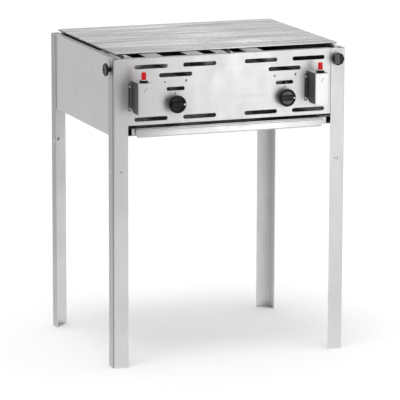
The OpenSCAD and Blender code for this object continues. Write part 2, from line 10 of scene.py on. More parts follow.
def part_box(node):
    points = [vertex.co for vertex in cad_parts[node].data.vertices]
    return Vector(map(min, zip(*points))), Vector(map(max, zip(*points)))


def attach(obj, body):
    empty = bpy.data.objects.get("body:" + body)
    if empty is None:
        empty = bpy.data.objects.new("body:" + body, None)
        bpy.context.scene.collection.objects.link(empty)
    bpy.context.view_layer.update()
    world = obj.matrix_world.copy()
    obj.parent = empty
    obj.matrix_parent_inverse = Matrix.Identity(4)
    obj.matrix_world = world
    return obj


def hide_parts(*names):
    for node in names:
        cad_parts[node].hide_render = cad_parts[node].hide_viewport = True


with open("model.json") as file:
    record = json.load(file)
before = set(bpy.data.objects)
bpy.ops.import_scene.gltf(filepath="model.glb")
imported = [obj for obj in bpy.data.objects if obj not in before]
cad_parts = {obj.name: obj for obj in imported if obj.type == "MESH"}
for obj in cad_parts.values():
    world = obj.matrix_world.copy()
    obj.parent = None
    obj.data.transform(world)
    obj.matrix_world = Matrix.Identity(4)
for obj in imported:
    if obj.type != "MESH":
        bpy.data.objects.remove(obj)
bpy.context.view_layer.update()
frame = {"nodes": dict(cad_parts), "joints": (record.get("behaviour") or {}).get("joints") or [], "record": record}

# A free-standing gas barbecue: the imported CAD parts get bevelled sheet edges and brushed
# metal, and the knobs, igniters, tray front, grate and radiants are built in full here.
# Metres, +Z up, controls towards -Y.

MM = 0.001
RECORD = frame["record"]
JOINTS = {j["name"]: j for j in frame["joints"]}
BODY_OF = {node: body for body, nodes in RECORD["behaviour"]["bodies"].items() for node in nodes}
SLOT_OF = {part["node"]: part["material_slot"] for part in RECORD["subparts"]}
SIDES = ("left", "right")
CORNERS = ("front_left", "front_right", "rear_right", "rear_left")
TUBE_PITCH = 88 * MM        # between burner tubes, and between the radiants over them
FOLDED = 1.2 * MM           # thickness of the sheet in the housings and the radiants


# ---------------------------------------------------------------- camera, floor and light

CAMERA_AT = Vector((-2.8432, -7.4853, 2.0057))
CAMERA_YAW = math.radians(20.841)
CAMERA_PITCH = math.radians(11.447)
CAMERA_ROLL = math.radians(0.167)
CAMERA_LENS = 270.9
LAMP_DIRECTION = Vector((-0.15, -0.20, 0.97)).normalized()
FLOOR_SIDE = 80
GLOW_SIDE = 24
REFLECTOR_AT = (0.3, -1.2, 0.75)
REFLECTOR_SIZE = (3.8, 1.1)


def make_camera():
    data = bpy.data.cameras.new("camera")
    data.sensor_width = 36.0
    data.lens = CAMERA_LENS
    data.clip_start = 0.1
    data.clip_end = 200.0
    camera = bpy.data.objects.new("camera", data)
    bpy.context.scene.collection.objects.link(camera)
    turn = (Matrix.Rotation(-CAMERA_YAW, 4, "Z")
            @ Matrix.Rotation(math.radians(90) - CAMERA_PITCH, 4, "X")
            @ Matrix.Rotation(CAMERA_ROLL, 4, "Z"))
    camera.matrix_world = Matrix.Translation(CAMERA_AT) @ turn
    bpy.context.scene.camera = camera


def plane(name, width, height):
    """A flat rectangle round the origin, in the XY plane."""
    bm = bmesh.new()
    bmesh.ops.create_grid(bm, x_segments=1, y_segments=1, size=0.5)
    bmesh.ops.scale(bm, vec=(width, height, 1), verts=bm.verts)
    return linked(name, bm)


def make_stage():
    """A pale floor, pale surroundings, and two cards that only the metal's reflections see."""
    floor = plane("floor", FLOOR_SIDE, FLOOR_SIDE)
    floor.data.materials.append(floor_material())
    just_above = Matrix.Translation((0, 0, 0.4 * MM))
    only_reflected(plane("floor_glow", GLOW_SIDE, GLOW_SIDE), floor_glow(), just_above)
    upright = Matrix.Translation(REFLECTOR_AT) @ Matrix.Rotation(math.radians(90), 4, "X")
    only_reflected(plane("reflector", *REFLECTOR_SIZE), reflector_glow(), upright)
    world = bpy.data.worlds.new("studio")
    world.use_nodes = True
    bpy.context.scene.world = world
    light_world(world.node_tree.nodes, world.node_tree.links)
    bpy.context.scene.view_settings.view_transform = "Standard"


def only_reflected(card, material, matrix):
    """A studio card that is seen in reflections and nowhere else."""
    card.matrix_world = matrix
    card.data.materials.append(material)
    card.visible_camera = False
    card.visible_diffuse = False
    card.visible_shadow = False
    card.visible_transmission = False
    card.visible_volume_scatter = False


def light_world(nodes, links):
    """White studio walls, greyer towards eye level, with one lamp almost overhead."""
    where = node(nodes, "ShaderNodeTexCoord")
    height = axes(nodes, links, where.outputs["Generated"])["Z"]
    room = ranged(nodes, links, height, 0.62, 1.05, 0.0, 1.0)
    toward = node(nodes, "ShaderNodeVectorMath", operation="DOT_PRODUCT")
    links.new(where.outputs["Generated"], toward.inputs[0])
    toward.inputs[1].default_value = LAMP_DIRECTION
    lamp = ranged(nodes, links, toward.outputs["Value"], 0.0, 5.0, 0.975, 0.985)
    links.new(joined(nodes, links, "ADD", room, lamp), nodes["Background"].inputs["Strength"])
    nodes["Background"].inputs["Color"].default_value = (1, 1, 1, 1)


def glow_shader(name):
    """An emission material and the world position that it can be graded by."""
    material, nodes, links = shader(name)
    nodes.remove(nodes["Principled BSDF"])
    glow = node(nodes, "ShaderNodeEmission")
    glow.inputs["Color"].default_value = (1, 1, 1, 1)
    links.new(glow.outputs["Emission"], nodes["Material Output"].inputs["Surface"])
    where = node(nodes, "ShaderNodeNewGeometry").outputs["Position"]
    return material, nodes, links, where, glow.inputs["Strength"]


def floor_glow():
    """The studio floor as the metal sees it: bright round the feet and greyer further out."""
    material, nodes, links, where, strength = glow_shader("floor_glow")
    away = node(nodes, "ShaderNodeVectorMath", operation="LENGTH")
    links.new(where, away.inputs[0])
    links.new(ranged(nodes, links, away.outputs["Value"], 1.22, 0.82, 0.5, 2.6), strength)
    return material


def reflector_glow():
    """A card in front of the object: dark on the left, bright in a band right of the middle
    and pale beyond it. Near the floor it is pale all the way across."""
    material, nodes, links, where, strength = glow_shader("reflector")
    spot = axes(nodes, links, where)
    rise = ranged(nodes, links, spot["X"], 0.12, 2.9, 0.0, 0.34)
    fall = ranged(nodes, links, spot["X"], 2.9, 0.9, 0.53, 0.72)
    across = joined(nodes, links, "MINIMUM", rise, fall)
    above = ranged(nodes, links, spot["Z"], 0.0, 1.0, 0.25, 0.45)
    links.new(blended(nodes, links, above, 0.9, across), strength)
    return material


# ---------------------------------------------------------------- mesh helpers

def linked(name, bm, smooth_angle=None):
    """Turns the mesh into an object in the scene, smooth up to the given angle."""
    bmesh.ops.recalc_face_normals(bm, faces=bm.faces)
    mesh = bpy.data.meshes.new(name)
    bm.to_mesh(mesh)
    bm.free()
    thing = bpy.data.objects.new(name, mesh)
    bpy.context.scene.collection.objects.link(thing)
    if smooth_angle is not None:
        mesh.shade_smooth()
        mesh.set_sharp_from_angle(angle=math.radians(smooth_angle))
        weighted = thing.modifiers.new("weighted", "WEIGHTED_NORMAL")
        weighted.keep_sharp = True
        weighted.weight = 100
        weighted.thresh = 0.0001
    return thing


def piece(name, bm, nodes, material=None, body=None, slot=None, smooth_angle=32):
    """A finished piece that stands for the CAD nodes, or rides beside them if there are none."""
    thing = linked(name, bm, smooth_angle)
    slot = slot or SLOT_OF[nodes[0]]
    thing.data.materials.append(MATERIALS[material or slot])
    if nodes:
        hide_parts(*nodes)
    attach(thing, body or BODY_OF[nodes[0]])
    return thing


def centre(cad_node):
    low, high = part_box(cad_node)
    return (low + high) / 2


def facing(axis, at):
    """The matrix that turns +Z to the axis, keeps X level, and moves the origin there."""
    out = Vector(axis).normalized()
    right = Vector((0, 0, 1)).cross(out)
    right = right.normalized() if right.length > 0.01 else Vector((1, 0, 0))
    up = out.cross(right)
    turn = Matrix((right, up, out)).transposed().to_4x4()
    return Matrix.Translation(Vector(at)) @ turn


def rings_to_faces(bm, rings, closed=True):
    """Quads between rings of vertices, each ring closed on itself."""
    for a, b in zip(rings, rings[1:]):
        count = len(a)
        for i in range(count if closed else count - 1):
            j = (i + 1) % count
            bm.faces.new((a[i], a[j], b[j], b[i]))


def lathe(bm, profile, matrix, segments=48, outline=None):
    """Revolves (radius, height) pairs about local Z. An outline function of the angle scales
    each radius; the profile's third value says how much of the outline it takes."""
    rings = []
    for point in profile:
        radius, height = point[0], point[1]
        share = point[2] if len(point) > 2 else 1.0
        ring = []
        for i in range(segments):
            angle = 2 * math.pi * i / segments
            scale = 1 + share * ((outline(angle) - 1) if outline else 0)
            spot = Vector((radius * scale * math.cos(angle), radius * scale * math.sin(angle), height))
            ring.append(bm.verts.new(matrix @ spot))
        rings.append(ring)
    rings_to_faces(bm, rings)
    bm.faces.new(list(reversed(rings[0])))
    bm.faces.new(rings[-1])


def rounded(corners, radius, steps=5):
    """Rounds the inner corners of an open (x, y) path with arcs of one radius."""
    path = [Vector(corners[0])]
    for before, corner, after in zip(corners, corners[1:], corners[2:]):
        corner = Vector(corner)
        inward = (Vector(before) - corner).normalized()
        onward = (Vector(after) - corner).normalized()
        half = inward.angle(onward) / 2
        reach = radius / math.tan(half)
        middle = corner + (inward + onward).normalized() * (radius / math.sin(half))
        start = corner + inward * reach - middle
        end = corner + onward * reach - middle
        sweep = start.angle_signed(end)
        for k in range(steps + 1):
            turn = Matrix.Rotation(-sweep * k / steps, 2)
            path.append(middle + turn @ start)
    path.append(Vector(corners[-1]))
    return path


def offset_path(path, distance):
    """The same open path moved sideways, to its left, by a distance."""
    moved = []
    for i, spot in enumerate(path):
        ahead = (path[min(i + 1, len(path) - 1)] - spot)
        behind = (spot - path[max(i - 1, 0)])
        ahead = ahead.normalized() if ahead.length > 1e-9 else behind.normalized()
        behind = behind.normalized() if behind.length > 1e-9 else ahead
        across = ahead + behind
        normal = Vector((-across.y, across.x)).normalized()
        stretch = max(0.3, normal.dot(Vector((-ahead.y, ahead.x))))
        moved.append(spot + normal * distance / stretch)
    return moved


def strip(bm, path, thickness, lift, low, high):
    """A folded sheet: a path of given thickness, drawn out between two ends. lift turns a
    path point and a height along the strip into a place; low and high may be functions."""
    inner = offset_path(path, thickness)
    quads = []
    for line in (path, inner):
        ends = []
        for end in (low, high):
            ends.append([bm.verts.new(lift(spot, end(spot) if callable(end) else end))
                         for spot in line])
        quads.append(ends)
    (a0, a1), (b0, b1) = quads
    for i in range(len(path) - 1):
        bm.faces.new((a0[i], a0[i + 1], a1[i + 1], a1[i]))
        bm.faces.new((b0[i + 1], b0[i], b1[i], b1[i + 1]))
        bm.faces.new((a0[i + 1], a0[i], b0[i], b0[i + 1]))
        bm.faces.new((a1[i], a1[i + 1], b1[i + 1], b1[i]))
    bm.faces.new((a0[0], a1[0], b1[0], b0[0]))
    bm.faces.new((a1[-1], a0[-1], b0[-1], b1[-1]))


def refined(cad_node, bevel=0.3 * MM, segments=2, sharp=35):
    """The CAD node's own shape with its sharp edges broken, as a sheet or a casting has."""
    bm = bmesh.new()
    bm.from_mesh(frame["nodes"][cad_node].data)
    bmesh.ops.remove_doubles(bm, verts=bm.verts, dist=1e-6)
    bmesh.ops.dissolve_limit(bm, angle_limit=math.radians(0.6), verts=bm.verts, edges=bm.edges)
    edges = [e for e in bm.edges if len(e.link_faces) == 2
             and e.calc_face_angle(0) > math.radians(sharp)]
    bmesh.ops.bevel(bm, geom=edges, offset=bevel, segments=segments, profile=0.5,
                    affect="EDGES", clamp_overlap=True)
    bmesh.ops.remove_doubles(bm, verts=bm.verts, dist=2e-6)
    return piece(cad_node + "_shell", bm, [cad_node], smooth_angle=28)


# ---------------------------------------------------------------- materials

def shader(name):
    """A new material with its nodes and links."""
    material = bpy.data.materials.new(name)
    material.use_nodes = True
    return material, material.node_tree.nodes, material.node_tree.links


def node(nodes, kind, **values):
    """A new node, with values for its inputs or its own settings."""
    made = nodes.new(kind)
    for key, value in values.items():
        if key in made.inputs:
            made.inputs[key].default_value = value
        else:
            setattr(made, key, value)
    return made


def axes(nodes, links, vector):
    """The X, Y and Z of a vector, as three sockets."""
    split = node(nodes, "ShaderNodeSeparateXYZ")
    links.new(vector, split.inputs["Vector"])
    return split.outputs


def joined(nodes, links, operation, first, second, clamp=False):
    """Two sockets put together by a maths node."""
    made = node(nodes, "ShaderNodeMath", operation=operation, use_clamp=clamp)
    links.new(first, made.inputs[0])
    links.new(second, made.inputs[1])
    return made.outputs[0]


def noise(nodes, links, scale, stretch=(1, 1, 1), detail=3.0, offset=(0, 0, 0)):
    """Noise in the row frame, stretched: a small number draws it out along that axis."""
    where = node(nodes, "ShaderNodeTexCoord")
    mapping = node(nodes, "ShaderNodeMapping")
    mapping.inputs["Scale"].default_value = stretch
    mapping.inputs["Location"].default_value = offset
    links.new(where.outputs["Object"], mapping.inputs["Vector"])
    made = node(nodes, "ShaderNodeTexNoise", Scale=scale, Detail=detail)
    links.new(mapping.outputs["Vector"], made.inputs["Vector"])
    return made.outputs["Fac"]


def ranged(nodes, links, value, low, high, start=0.3, end=0.7):
    """Runs from low to high as the value runs from start to end."""
    made = node(nodes, "ShaderNodeMapRange")
    made.inputs["From Min"].default_value = start
    made.inputs["From Max"].default_value = end
    made.inputs["To Min"].default_value = low
    made.inputs["To Max"].default_value = high
    links.new(value, made.inputs["Value"])
    return made.outputs["Result"]


def mixed(nodes, links, factor, first, second):
    """A colour between first and second, each a plain colour or a socket."""
    made = node(nodes, "ShaderNodeMix", data_type="RGBA")
    links.new(factor, made.inputs["Factor"])
    for socket, value in ((made.inputs[6], first), (made.inputs[7], second)):
        if isinstance(value, tuple):
            socket.default_value = (*value, 1)
        else:
            links.new(value, socket)
    return made.outputs[2]


def blended(nodes, links, factor, first, second):
    """A number between first and second, each a plain number or a socket."""
    made = node(nodes, "ShaderNodeMix", data_type="FLOAT")
    links.new(factor, made.inputs["Factor"])
    for socket, value in ((made.inputs[2], first), (made.inputs[3], second)):
        if isinstance(value, float):
            socket.default_value = value
        else:
            links.new(value, socket)
    return made.outputs[0]


def bumped(nodes, links, height, strength, distance, normal=None):
    """A normal tilted by the slopes of a height, on top of another normal if one is given."""
    made = node(nodes, "ShaderNodeBump", Strength=strength, Distance=distance)
    links.new(height, made.inputs["Height"])
    if normal is not None:
        links.new(normal, made.inputs["Normal"])
    return made.outputs["Normal"]


def inside(nodes, links, low, high):
    """1 within the box and 0 outside it, in the row frame."""
    spot = axes(nodes, links, node(nodes, "ShaderNodeTexCoord").outputs["Object"])
    shares = []
    for axis, a, b in zip("XYZ", low, high):
        near = node(nodes, "ShaderNodeMath", operation="COMPARE")
        links.new(spot[axis], near.inputs[0])
        near.inputs[1].default_value = (a + b) / 2
        near.inputs[2].default_value = (b - a) / 2
        shares.append(near.outputs[0])
    across = joined(nodes, links, "MULTIPLY", shares[0], shares[1])
    return joined(nodes, links, "MULTIPLY", across, shares[2])


def metal(name, colour, dull, rough, spread, grain, grain_scale, grain_depth, wave=0.0,
          streaks=None, darkened=(), fading=None, matt=0.0):
    """Rolled or brushed metal: fine lines along the grain, patches of duller surface, faint smears, and a slow
    waviness of the sheet. It can have long streaks of another colour, a share of matt scale, which shines less,
    and boxes of space (low, high, colour) where painted shade darkens it. It can also have a colour at the front
    that fades out between two places along Y."""
    material, nodes, links = shader(name)
    out = nodes["Principled BSDF"]
    out.inputs["Metallic"].default_value = 1.0 - matt
    out.inputs["Specular IOR Level"].default_value = 0.5 * (1.0 - matt)
    lines = noise(nodes, links, grain_scale, grain, 4.0)
    coarse = noise(nodes, links, grain_scale * 0.22, grain, 3.0, (3.1, 1.7, 0.4))
    patches = noise(nodes, links, 9.0, (1, 1, 1), 4.0, (1.3, 0.2, 2.1))
    smears = noise(nodes, links, 38.0, (1, 1, 0.35), 3.0, (0.4, 2.2, 0.9))
    tone = mixed(nodes, links, ranged(nodes, links, patches, 0, 1), colour, dull)
    tone = mixed(nodes, links, ranged(nodes, links, coarse, 0, 0.35), tone, dull)
    if streaks:
        drawn = noise(nodes, links, 46.0, (0.06, 1, 1), 4.0, (0.2, 0.7, 0.1))
        tone = mixed(nodes, links, ranged(nodes, links, drawn, 0, 1, 0.42, 0.6), tone, streaks)
    for low, high, dark in darkened:
        tone = mixed(nodes, links, inside(nodes, links, low, high), tone, dark)
    if fading:
        start, end, front = fading
        spot = axes(nodes, links, node(nodes, "ShaderNodeTexCoord").outputs["Object"])
        past_front = ranged(nodes, links, spot["Y"], 0, 1, start, end)
        tone = mixed(nodes, links, past_front, front, tone)
    links.new(tone, out.inputs["Base Color"])
    base = ranged(nodes, links, patches, rough - spread, rough + spread)
    fine = ranged(nodes, links, lines, -0.05, 0.05)
    smear = ranged(nodes, links, smears, -0.03, 0.04)
    total = joined(nodes, links, "ADD", base, fine)
    links.new(joined(nodes, links, "ADD", total, smear, clamp=True), out.inputs["Roughness"])
    normal = bumped(nodes, links, lines, grain_depth, 0.0002)
    if wave:
        slow = noise(nodes, links, 4.5, (1, 1, 1), 1.0, (0.8, 0.1, 0.3))
        normal = bumped(nodes, links, slow, wave, 0.01, normal)
    links.new(normal, out.inputs["Normal"])
    return material


def plastic(name, colour, worn, rough, grain_scale, grain_depth, shine=0.5, greyed=()):
    """Moulded plastic: a faint pebble, finger-dulled patches and slightly greyed high spots. It can be greyer
    inside boxes of space (low, high, colour), as a painted reflection."""
    material, nodes, links = shader(name)
    out = nodes["Principled BSDF"]
    pebble = noise(nodes, links, grain_scale, (1, 1, 1), 2.0)
    patches = noise(nodes, links, 60.0, (1, 1, 1), 4.0, (0.5, 0.5, 0.1))
    tone = mixed(nodes, links, ranged(nodes, links, patches, 0, 0.6), colour, worn)
    for low, high, grey in greyed:
        tone = mixed(nodes, links, inside(nodes, links, low, high), tone, grey)
    links.new(tone, out.inputs["Base Color"])
    links.new(ranged(nodes, links, patches, rough - 0.07, rough + 0.1), out.inputs["Roughness"])
    links.new(bumped(nodes, links, pebble, grain_depth, 0.0003), out.inputs["Normal"])
    out.inputs["Specular IOR Level"].default_value = shine
    return material


def floor_material():
    material, nodes, links = shader("floor_white")
    out = nodes["Principled BSDF"]
    faint = noise(nodes, links, 1.5, (1, 1, 1), 2.0)
    links.new(mixed(nodes, links, faint, (0.95, 0.95, 0.955), (0.965, 0.965, 0.967)),
              out.inputs["Base Color"])
    out.inputs["Roughness"].default_value = 0.9
    out.inputs["Specular IOR Level"].default_value = 0.1
    return material


ALONG_X = (0.02, 1, 1)
ALONG_Y = (1, 0.02, 1)
ALONG_Z = (1, 1, 0.02)


SKIN = 0.6 * MM             # how far a box of painted shade reaches past, or stays short of, a face


def casing_inside_shade():
    """Painted shade on the inner faces of the casing's walls, which look dark through the panel's slots."""
    wall_low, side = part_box("front_panel")[0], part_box("side_panel_left")
    back_high, right_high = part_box("back_panel")[1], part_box("side_panel_right")[1]
    low = (side[0].x + SKIN, wall_low.y + SKIN, side[0].z - 10 * MM)
    high = (right_high.x - SKIN, back_high.y - SKIN, side[1].z - 1.6 * MM)
    return [(low, high, (0.04, 0.04, 0.039))]


def radiant_front_dark():
    """The radiants are darker up to the first place along Y, and plain from the second on. Seen from the camera,
    the panel's slots show the dark part and the start of the fade, and the gap under the grate shows only the
    plain part. This is a choice, not known soot."""
    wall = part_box("front_panel")[0].y
    return wall + 0.235, wall + 0.355, (0.035, 0.035, 0.034)


def housing_cheek_shade():
    """Painted shade on the left cheeks of the igniter housings."""
    boxes = []
    for side, dark in (("left", 0.20), ("right", 0.13)):
        low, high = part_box("igniter_housing_" + side)
        boxes.append(((low.x - SKIN, low.y + 2.5 * MM, low.z - SKIN),
                      (low.x + 9.0 * MM, high.y + SKIN, high.z + SKIN), (dark, dark, dark)))
    return boxes


def leg_flange_shade():
    """Painted shade on the outer left faces of the left legs, and darker painted shade on the front leg's folded
    corner. Like the cheeks, they give the photo's tones, which may have been reflections there."""
    boxes = []
    for leg, reach, dark in (("leg_front_left", 0.2 * MM, 0.46), ("leg_rear_left", 0.2 * MM, 0.44)):
        low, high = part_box(leg)
        boxes.append(((low.x - SKIN, low.y - SKIN, low.z - SKIN),
                      (low.x + reach, high.y + SKIN, high.z + SKIN), (dark, dark, dark)))
    low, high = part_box("leg_front_left")
    boxes.append(((low.x - SKIN, low.y - SKIN, low.z - SKIN),
                  (low.x + 0.6 * MM, low.y + 9 * MM, high.z + SKIN), (0.25, 0.25, 0.25)))
    return boxes


def rail_shade():
    """Painted shade on the left tray rail, in a box that runs on to the middle of the object, and on the front
    rail of the radiants."""
    tray_low, tray_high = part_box("tray_rail_left")
    front_low, front_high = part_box("radiant_rail_front")
    return [(tray_low, (0.0, *tray_high[1:]), (0.05, 0.055, 0.05)),
            (front_low, front_high, (0.06, 0.06, 0.058))]


def grate_underside_shade():
    """Painted shade on the lower sides of the grate's rods, the cross rods and the welds."""
    low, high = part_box("cooking_grate")
    return [(low, (high.x, high.y, high.z - 3.5 * MM), (0.08, 0.08, 0.078))]


def plastic_reflection_patches():
    """The sunk face of the right gas knob, and a patch on the front right star knob, greyed by a painted
    reflection."""
    low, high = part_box("control_knob_right")
    sunk = low.y + 6.0 * MM
    star_low, star_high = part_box("star_knob_front_right")
    return [((low.x, sunk - 0.3 * MM, low.z), (high.x, sunk + 0.3 * MM, high.z), (0.10, 0.10, 0.10)),
            ((star_low.x + 5 * MM, star_low.y - 1 * MM, star_low.z + 3 * MM),
             (star_low.x + 20 * MM, star_low.y + 3 * MM, star_high.z - 3 * MM), (0.10, 0.10, 0.10))]


def make_materials():
    """Every finish by name: the record's material slots, and three more for single pieces."""
    return {
        "leg_steel": metal("leg_steel", (0.63, 0.63, 0.635), (0.60, 0.60, 0.605), 0.53, 0.05,
                           ALONG_Z, 900.0, 0.10, 0.02, darkened=leg_flange_shade()),
        "casing_steel": metal("casing_steel", (0.62, 0.62, 0.625), (0.59, 0.59, 0.595), 0.48, 0.02,
                              ALONG_X, 800.0, 0.04, 0.02, darkened=casing_inside_shade()),
        "housing_steel": metal("housing_steel", (0.62, 0.62, 0.625), (0.59, 0.59, 0.595), 0.40, 0.02,
                               ALONG_Z, 800.0, 0.04, darkened=housing_cheek_shade()),
        "tray_steel": metal("tray_steel", (0.48, 0.48, 0.48), (0.43, 0.43, 0.43), 0.28, 0.06,
                            ALONG_X, 700.0, 0.07, 0.05),
        "rail_steel": metal("rail_steel", (0.66, 0.66, 0.65), (0.44, 0.44, 0.43), 0.42, 0.08,
                            ALONG_Y, 300.0, 0.10, 0.02, matt=0.6, darkened=rail_shade()),
        "grate_steel": metal("grate_steel", (0.72, 0.72, 0.725), (0.60, 0.60, 0.60), 0.26, 0.06,
                             ALONG_X, 500.0, 0.08, streaks=(0.46, 0.46, 0.46),
                             darkened=grate_underside_shade()),
        "radiant_steel": metal("radiant_steel", (0.80, 0.80, 0.80), (0.70, 0.70, 0.69), 0.28, 0.07,
                               ALONG_Y, 500.0, 0.08, 0.04, fading=radiant_front_dark(), matt=0.94),
        "burner_steel": metal("burner_steel", (0.26, 0.25, 0.24), (0.17, 0.155, 0.14), 0.38, 0.08,
                              ALONG_Y, 500.0, 0.08),
        "screw_steel": metal("screw_steel", (0.70, 0.70, 0.71), (0.55, 0.55, 0.56), 0.28, 0.06,
                             (1, 1, 1), 700.0, 0.05),
        "brass": metal("brass", (0.78, 0.60, 0.30), (0.60, 0.45, 0.22), 0.30, 0.07,
                       (1, 1, 1), 600.0, 0.05),
        "copper": metal("copper", (0.74, 0.42, 0.28), (0.50, 0.27, 0.17), 0.33, 0.07,
                        (1, 1, 1), 600.0, 0.05),
        "knob_plastic": plastic("knob_plastic", (0.003, 0.003, 0.0035), (0.007, 0.007, 0.0075), 0.14,
                                1800.0, 0.04, 0.16, plastic_reflection_patches()),
        "button_plastic": plastic("button_plastic", (0.62, 0.003, 0.008), (0.52, 0.004, 0.008), 0.24,
                                  1500.0, 0.06, 0.2),
        "igniter_plastic": plastic("igniter_plastic", (0.78, 0.76, 0.70), (0.66, 0.63, 0.56), 0.45,
                                   1500.0, 0.10),
        "ceramic": plastic("ceramic", (0.86, 0.84, 0.78), (0.70, 0.66, 0.58), 0.35, 900.0, 0.08),
        "lead_rubber": plastic("lead_rubber", (0.26, 0.03, 0.03), (0.18, 0.03, 0.03), 0.5,
                               1200.0, 0.12),
        "dot_white": plastic("dot_white", (0.85, 0.85, 0.84), (0.75, 0.75, 0.73), 0.4,
                             1500.0, 0.05),
        # Grey for the printed marks, and painted shade for the burner ports.
        "print_and_port_shade_grey": plastic("print_and_port_shade_grey", (0.10, 0.10, 0.10), (0.14, 0.14, 0.14), 0.5,
                              1500.0, 0.03, 0.2),
    }


# ---------------------------------------------------------------- knobs

def star_knob(corner):
    """Clamp knob: an eight-cornered head that tapers back to a round neck with a foot."""
    flat = 0.934            # from the middle to a side, as a share of the radius
    knob = "star_knob_" + corner
    joint = JOINTS[knob + "_turn"]
    low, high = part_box(knob)
    axis = Vector(joint["axis"])
    reach = max(abs((spot - Vector(joint["pos_m"])).dot(axis)) for spot in (low, high))
    radius = 17.2 * MM
    eighth = math.pi / 4

    def corners(angle):
        return min(1.0, flat / math.cos(angle % eighth - eighth / 2))

    profile = [(5.0 * MM, 0.4 * MM, 0), (7.2 * MM, 0.4 * MM, 0), (7.4 * MM, 0.8 * MM, 0),
               (7.1 * MM, 1.8 * MM, 0), (6.2 * MM, 2.3 * MM, 0), (5.9 * MM, 5.4 * MM, 0),
               (6.6 * MM, 6.4 * MM, 0), (9.0 * MM, 7.6 * MM, 0.3), (13.0 * MM, 8.8 * MM, 0.8),
               (radius - 1.2 * MM, 9.3 * MM, 1), (radius - 0.2 * MM, 10.0 * MM, 1),
               (radius, 10.8 * MM, 1), (radius, reach - 1.6 * MM, 1),
               (radius - 0.4 * MM, reach - 0.7 * MM, 1), (radius - 1.5 * MM, reach - 0.1 * MM, 1),
               (radius - 3.2 * MM, reach, 0.9), (radius - 5.0 * MM, reach - 0.5 * MM, 0.6),
               (8.0 * MM, reach - 1.3 * MM, 0.1), (0.6 * MM, reach - 1.5 * MM, 0)]
    bm = bmesh.new()
    lathe(bm, profile, facing(axis, joint["pos_m"]), 128, corners)
    piece(knob + "_head", bm, [knob], smooth_angle=30)


def stadium(length, width, count=40):
    """Points round a bar with round ends, in the XY plane."""
    radius = width / 2
    straight = length / 2 - radius
    spots = []
    for i in range(count):
        angle = 2 * math.pi * i / count
        x = math.cos(angle)
        spots.append(Vector((radius * x + math.copysign(straight, x) if abs(x) > 1e-6 else 0,
                             radius * math.sin(angle))))
    return spots


def control_knob(side):
    """Gas knob: flared skirt, rim, sunk face and a crowned grip bar, with a white dot."""
    knob = "control_knob_" + side
    joint = JOINTS["valve_%s_turn" % side]
    low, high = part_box(knob)
    at = centre(knob)
    at.y = high.y
    matrix = facing(joint["axis"], at)
    radius = (high.x - low.x) / 2
    deep = high.y - low.y
    face = deep - 4 * MM
    profile = [(4 * MM, 0), (17.2 * MM, 0), (18 * MM, 0.6 * MM), (18.2 * MM, 4 * MM),
               (19.0 * MM, 6.6 * MM), (21.5 * MM, 7.6 * MM), (radius - 0.6 * MM, 8.2 * MM),
               (radius, 9.2 * MM), (radius, face - 1.6 * MM), (radius - 0.5 * MM, face - 0.5 * MM),
               (radius - 1.5 * MM, face), (radius - 3.0 * MM, face),
               (radius - 3.8 * MM, face - 0.6 * MM), (radius - 4.6 * MM, face - 1.6 * MM),
               (12 * MM, face - 1.9 * MM), (0.6 * MM, face - 2.0 * MM)]
    bm = bmesh.new()
    lathe(bm, profile, matrix, 96)
    bar = [(2 * radius - 2.5 * MM, 15 * MM, -2.5 * MM), (2 * radius - 3 * MM, 13.6 * MM, -0.5 * MM),
           (2 * radius - 4 * MM, 12.4 * MM, 2.0 * MM), (2 * radius - 5 * MM, 11.4 * MM, 3.2 * MM),
           (2 * radius - 7 * MM, 9.4 * MM, 3.6 * MM), (2 * radius - 14 * MM, 4.0 * MM, 3.7 * MM)]
    rings = [[bm.verts.new(matrix @ Vector((p.x, p.y, face + z))) for p in stadium(length, width)]
             for length, width, z in bar]
    rings_to_faces(bm, rings)
    bm.faces.new(rings[-1])
    bm.faces.new(list(reversed(rings[0])))
    piece(knob + "_body", bm, [knob], smooth_angle=38)

    dot = bmesh.new()
    spot = matrix @ Matrix.Translation((radius - 6.0 * MM, 0, face + 3.95 * MM))
    lathe(dot, [(2.2 * MM, -3.0 * MM), (2.2 * MM, -0.2 * MM), (1.9 * MM, 0), (0.3 * MM, 0)],
          spot, 24)
    piece(knob + "_dot", dot, [], "dot_white", BODY_OF[knob], "knob_plastic")


# ---------------------------------------------------------------- igniters

def igniter_button(side):
    """Red push button with a rounded rim and a slightly hollow top."""
    button = "igniter_button_" + side
    low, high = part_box(button)
    at = centre(button)
    at.z = low.z
    radius = (high.x - low.x) / 2
    tall = high.z - low.z
    profile = [(radius - 1 * MM, 0), (radius, 0.8 * MM), (radius, tall - 2.2 * MM),
               (radius - 0.3 * MM, tall - 1.1 * MM), (radius - 1.0 * MM, tall - 0.35 * MM),
               (radius - 2.0 * MM, tall), (radius - 3.2 * MM, tall - 0.2 * MM),
               (0.3 * MM, tall - 0.7 * MM)]
    bm = bmesh.new()
    lathe(bm, profile, Matrix.Translation(at), 48)
    piece(button + "_cap", bm, [button], smooth_angle=40)


